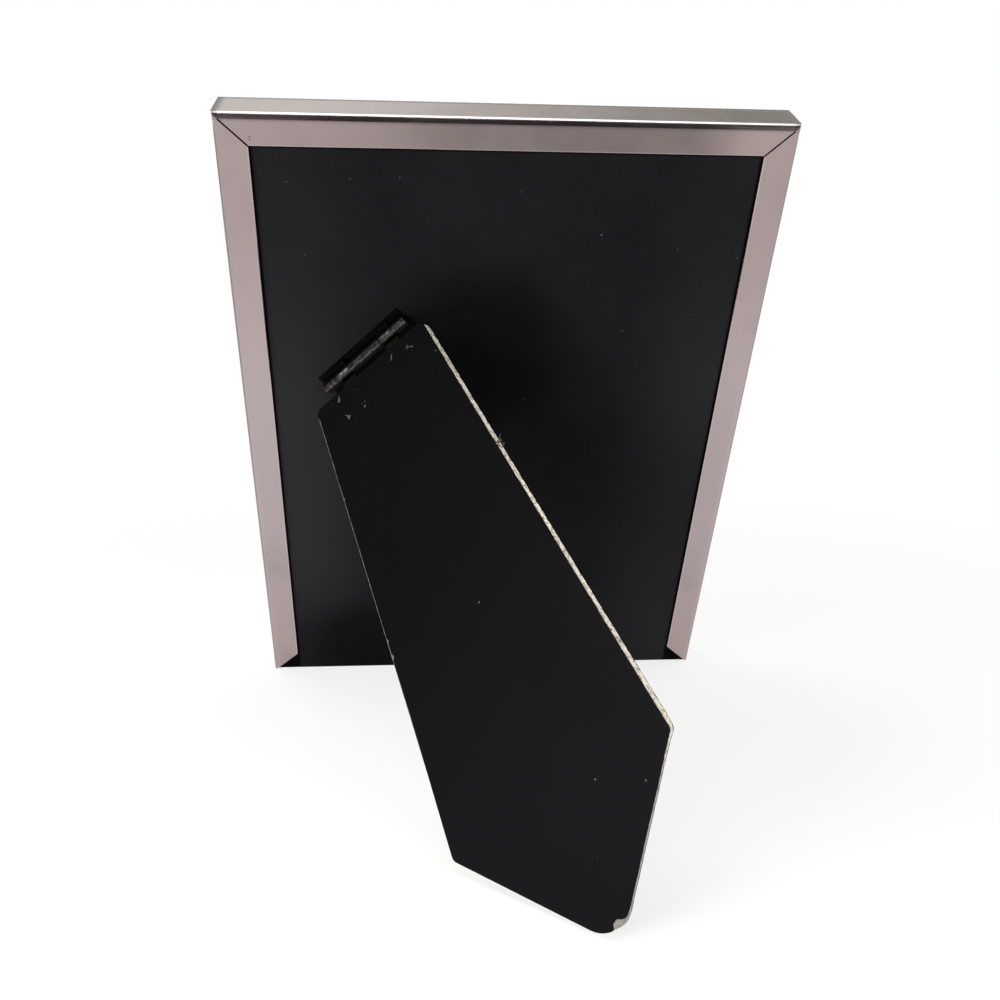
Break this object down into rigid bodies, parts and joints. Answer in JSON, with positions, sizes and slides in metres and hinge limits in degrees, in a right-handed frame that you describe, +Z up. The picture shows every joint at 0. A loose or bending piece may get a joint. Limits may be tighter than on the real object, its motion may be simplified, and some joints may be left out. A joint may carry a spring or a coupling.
{
  "type": "easel back photo frame",
  "caption": "Free-standing metal photo frame with glass, a slide-out black back board and a slanted folding easel leg on a pin hinge.",
  "frame": {"origin": "middle of the footprint's bounding box, on the table", "axes": "+Z up, +X to the right seen from the front, the glass faces -Y and leans back, the leg stands behind towards +Y"},
  "size_m": [0.134, 0.151, 0.1637],
  "materials": {
    "satin_nickel": "satin nickel plate, folded sheet",
    "tinned_angle": "dull tinned steel",
    "clear_glass": "clear, seamed edges",
    "blank_print": "blank satin photo paper",
    "grey_card": "plain grey card",
    "corrugated_pad": "brown filler board",
    "black_paper": "matt black embossed paper",
    "cream_fibreboard": "raw cut fibreboard",
    "lining_paper": "plain lining paper",
    "worn_hinge_steel": "black lacquered steel, rubbed bright on its edges"
  },
  "bodies": {
    "frame": {"top_rail": "satin_nickel", "left_rail": "satin_nickel", "right_rail": "satin_nickel", "bottom_rail": "satin_nickel", "corner_angle_top_left": "tinned_angle", "corner_angle_top_right": "tinned_angle", "corner_angle_bottom_left": "tinned_angle", "corner_angle_bottom_right": "tinned_angle", "glass_pane": "clear_glass", "photo_print": "blank_print", "backing_card": "grey_card", "filler_pad": "corrugated_pad"},
    "back": {"board_rear_paper": "black_paper", "board_core": "cream_fibreboard", "board_lining": "lining_paper", "hinge_board_leaf": "worn_hinge_steel", "hinge_pin": "worn_hinge_steel"},
    "leg": {"leg_front_paper": "black_paper", "leg_core": "cream_fibreboard", "leg_rear_paper": "black_paper", "hinge_leg_leaf": "worn_hinge_steel"}
  },
  "joints": [
    {"name": "back_slide", "type": "slide", "parent": "frame", "child": "back", "axis": [0, -0.4971, -0.8677], "range_m": [0, 0.19]},
    {"name": "leg_hinge", "type": "hinge", "parent": "back", "child": "leg", "pos_m": [0.03465, -0.00483, 0.10363], "axis": [-0.6947, 0.3576, 0.6242], "range_deg": [0, 59]}
  ]
}
